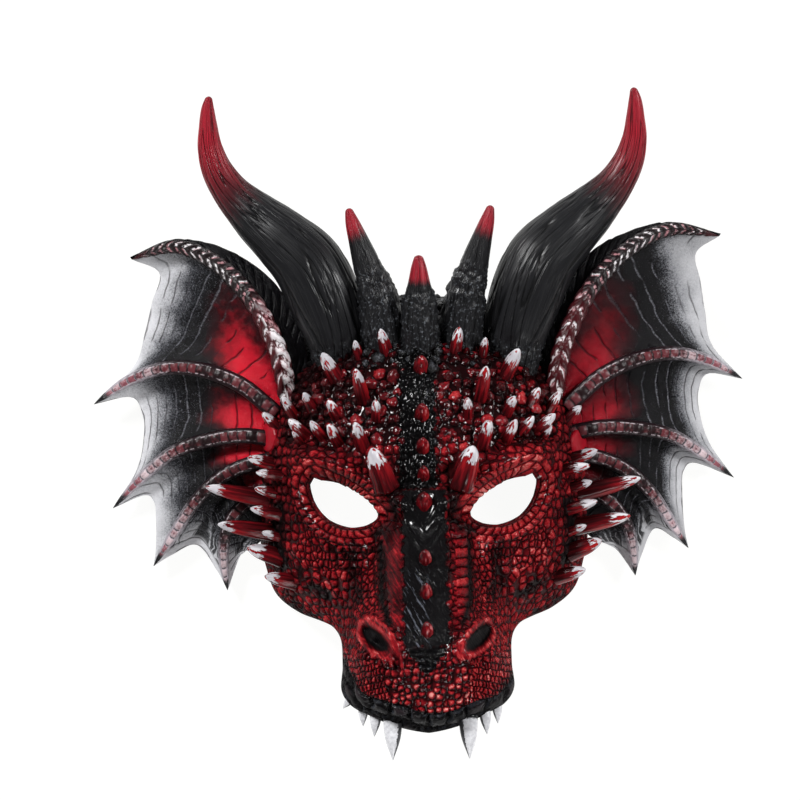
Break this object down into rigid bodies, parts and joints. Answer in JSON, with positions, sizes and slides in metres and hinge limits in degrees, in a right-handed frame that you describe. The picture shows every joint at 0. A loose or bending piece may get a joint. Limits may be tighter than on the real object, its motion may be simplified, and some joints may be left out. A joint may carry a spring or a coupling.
{
  "type": "dragon mask",
  "caption": "Hollow half-face dragon mask with a long snout, curved horns, webbed ear fins, brow spikes and fangs, open at the back and below the snout.",
  "frame": {"origin": "under the middle of the mask's box, on the plane of the back rim that it lies on", "axes": "+X to the wearer's left, +Y to the top of the head, +Z out of the face, the way the snout points"},
  "size_m": [0.3064, 0.3084, 0.1306],
  "materials": {
    "painted_foam": "satin paint in crimson, black and white on moulded soft foam",
    "rivet_red": "smooth satin red"
  },
  "bodies": {
    "root": {"mask": "painted_foam", "strap_rivet_left": "rivet_red", "strap_rivet_right": "rivet_red"}
  },
  "joints": []
}
